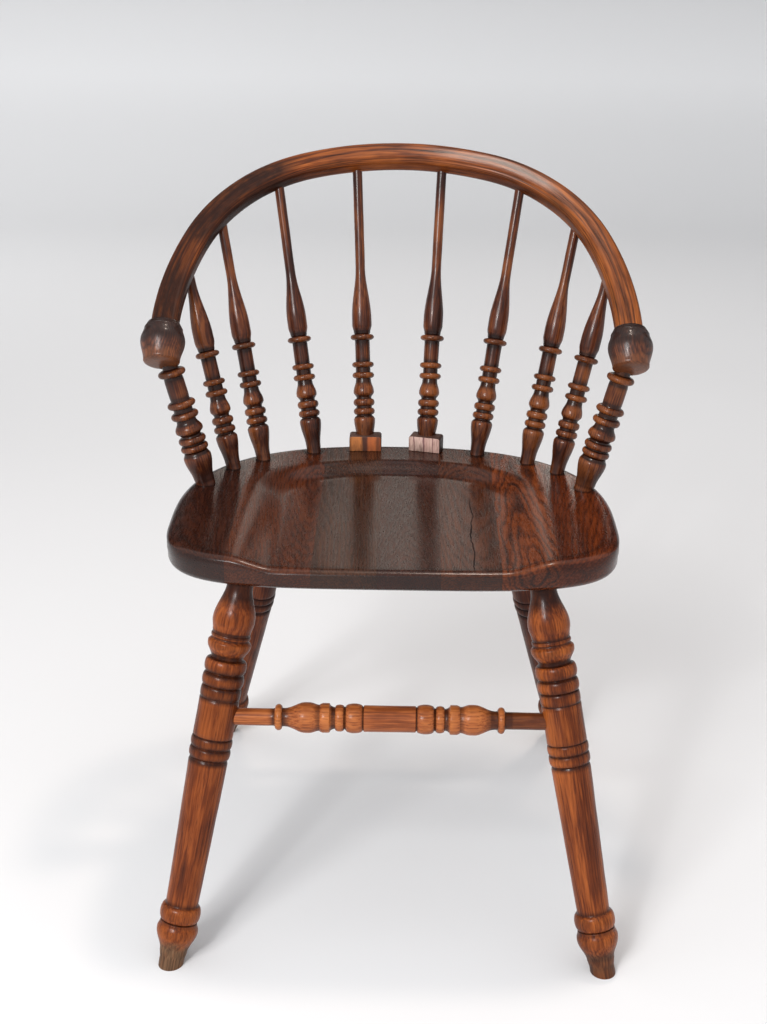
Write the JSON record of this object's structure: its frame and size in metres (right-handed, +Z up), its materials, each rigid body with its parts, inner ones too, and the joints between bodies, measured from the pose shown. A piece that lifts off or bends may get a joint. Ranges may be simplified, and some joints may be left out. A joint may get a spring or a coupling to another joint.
{
  "type": "hoop-back spindle armchair",
  "caption": "Low wooden armchair with a saddled board seat, a bent hoop that makes back and arms, turned spindles and splayed turned legs.",
  "frame": {"origin": "on the floor under the middle of the chair", "axes": "+X to the viewer's right as one faces the chair, +Y from the front to the back, +Z up"},
  "size_m": [0.5612, 0.5437, 0.7838],
  "materials": {
    "oak_dark": "old dark-stained oak, worn gloss varnish",
    "oak_red": "red-brown stained oak, old gloss varnish",
    "oak_warm": "warm brown stained oak, old gloss varnish, dark in the grooves",
    "oak_worn": "rubbed oak, thin varnish",
    "oak_pale": "bare pale wood with dark grain lines"
  },
  "bodies": {
    "root": {"seat_board_1": "oak_dark", "seat_board_2": "oak_dark", "seat_board_3": "oak_red", "seat_board_4": "oak_dark", "seat_board_5": "oak_red", "seat_board_6": "oak_warm", "seat_board_7": "oak_warm", "bow": "oak_worn", "hand_knob_left": "oak_worn", "hand_knob_right": "oak_worn", "repair_block_left": "oak_worn", "arm_post_left": "oak_warm", "arm_post_right": "oak_warm", "leg_front_left": "oak_warm", "leg_front_right": "oak_warm", "leg_back_left": "oak_warm", "leg_back_right": "oak_warm", "stretcher_front": "oak_warm", "stretcher_back": "oak_warm", "spindle_1": "oak_red", "spindle_2": "oak_red", "spindle_3": "oak_red", "spindle_4": "oak_red", "spindle_5": "oak_red", "spindle_6": "oak_red", "spindle_7": "oak_red", "spindle_8": "oak_red", "repair_block_right": "oak_pale"}
  },
  "joints": []
}
